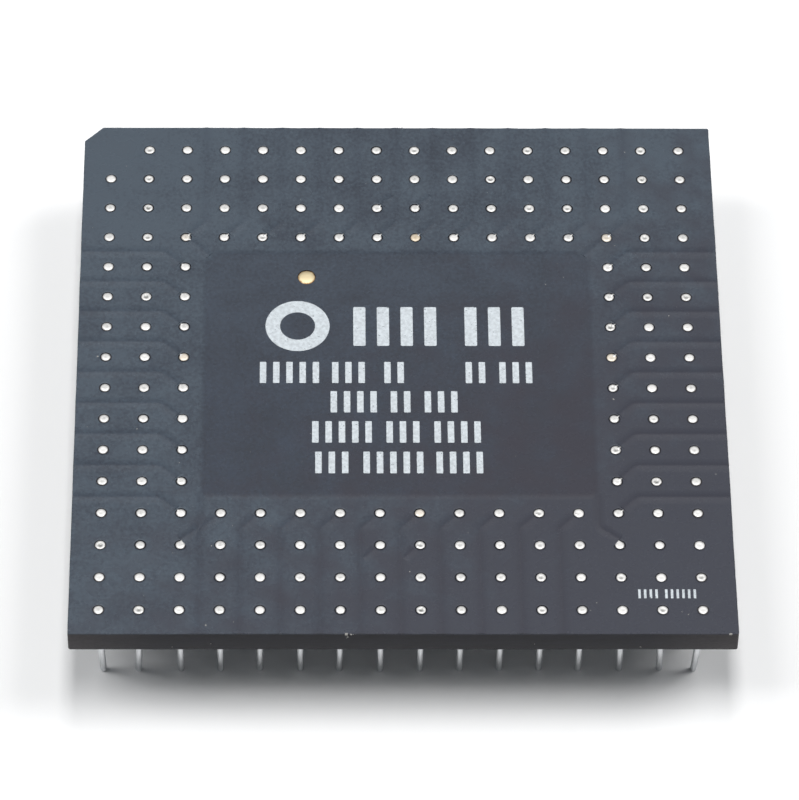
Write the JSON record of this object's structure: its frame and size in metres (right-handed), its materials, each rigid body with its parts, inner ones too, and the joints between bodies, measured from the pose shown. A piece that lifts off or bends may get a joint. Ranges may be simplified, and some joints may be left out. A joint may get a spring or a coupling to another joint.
{
  "type": "plastic pin grid array chip",
  "caption": "Square pin grid array package of a programmable logic chip: dark laminate board, through-soldered pins, lidded die cavity underneath and a gold index mark on top.",
  "frame": {"origin": "centre of the pin grid, in the plane of the pin tips", "axes": "+Z from the pin tips up to the board's top face; +X and +Y along the pin rows, with the cut index corner at -X, +Y"},
  "size_m": [0.042, 0.042, 0.0066],
  "materials": {
    "laminate": "satin black solder mask over epoxy-glass laminate",
    "gold": "satin gold plate",
    "silicon": "polished dark grey silicon",
    "silver_epoxy": "cured silver-filled epoxy",
    "epoxy": "cured black epoxy",
    "lid_metal": "black anodised",
    "solder": "tin-lead solder, dull silver"
  },
  "bodies": {
    "root": {"pin_grid_board": "laminate", "index_mark": "gold", "die_attach": "silver_epoxy", "wire_bonded_die": "silicon", "lid_seal": "epoxy", "lid": "lid_metal"}
  },
  "joints": []
}
